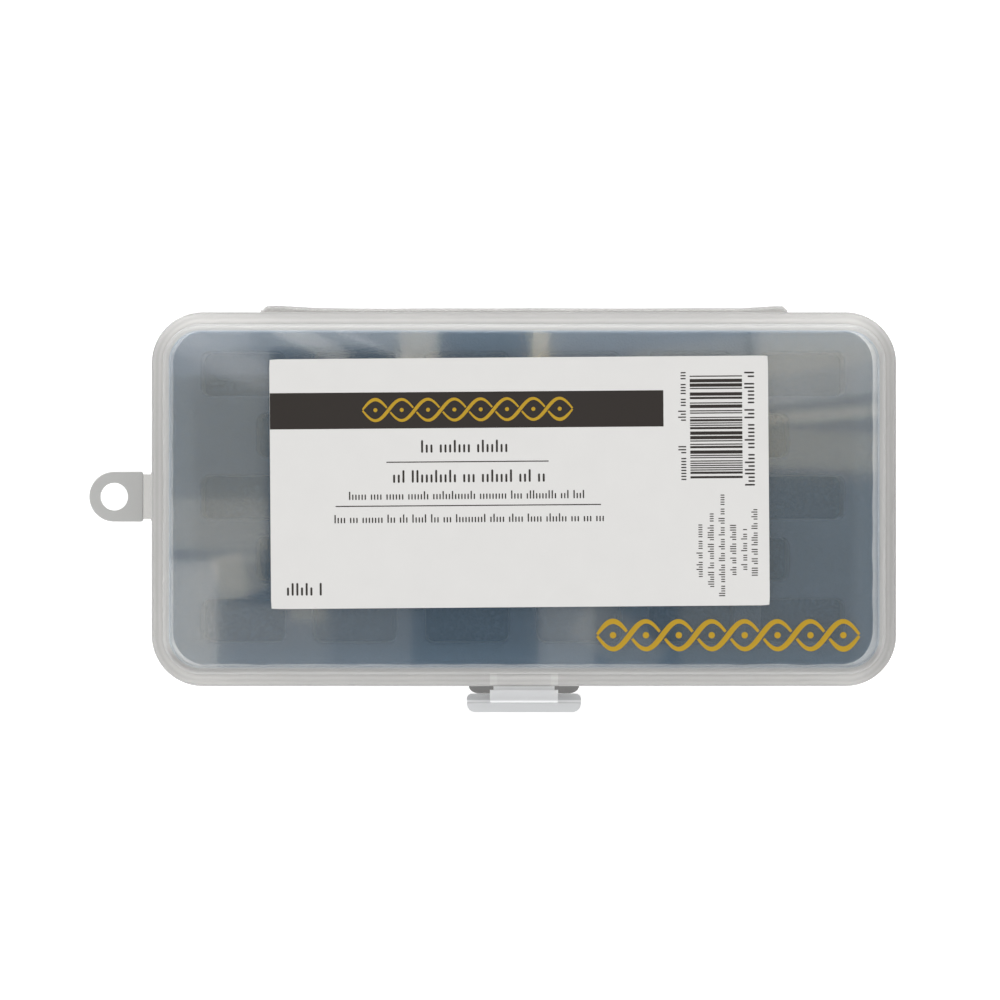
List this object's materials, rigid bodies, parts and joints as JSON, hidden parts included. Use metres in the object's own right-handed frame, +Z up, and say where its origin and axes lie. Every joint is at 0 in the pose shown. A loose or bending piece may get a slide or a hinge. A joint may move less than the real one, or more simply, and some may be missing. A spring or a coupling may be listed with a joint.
{
  "type": "bobbin storage box",
  "caption": "Shallow translucent clamshell case with a slotted foam insert that grips sewing machine bobbins on edge; hinged lid, front snap latch, fold-out hang tab.",
  "frame": {"origin": "centre of the flat bottom face that the closed case stands on", "axes": "+X along the length, to the right of someone facing the latch; +Y to the back, where the lid hinges; +Z up"},
  "size_m": [0.1931, 0.0969, 0.0278],
  "materials": {
    "natural_polypropylene": "translucent moulded polypropylene",
    "navy_foam": "closed-cell foam, cut",
    "label_paper": "coated white paper"
  },
  "bodies": {
    "base": {"base_tray": "natural_polypropylene", "foam_backing": "navy_foam", "foam_block": "navy_foam", "back_hinge_film": "natural_polypropylene", "hang_tab_film": "natural_polypropylene"},
    "lid": {"lid": "natural_polypropylene", "label": "label_paper", "latch_hinge_film": "natural_polypropylene"},
    "latch": {"front_latch": "natural_polypropylene"},
    "tab": {"hang_tab": "natural_polypropylene"}
  },
  "joints": [
    {"name": "lid_hinge", "type": "hinge", "parent": "base", "child": "lid", "pos_m": [0, 0.04575, 0.0196], "axis": [-1, 0, 0], "range_deg": [0, 180], "deforming": ["back_hinge_film"]},
    {"name": "latch_hinge", "type": "hinge", "parent": "lid", "child": "latch", "pos_m": [0, -0.04515, 0.0211], "axis": [-1, 0, 0], "range_deg": [0, 110], "deforming": ["latch_hinge_film"]},
    {"name": "tab_fold", "type": "hinge", "parent": "base", "child": "tab", "pos_m": [-0.0903, 0.0006, 0.0184], "axis": [0, -1, 0], "range_deg": [-70, 90], "deforming": ["hang_tab_film"]}
  ]
}
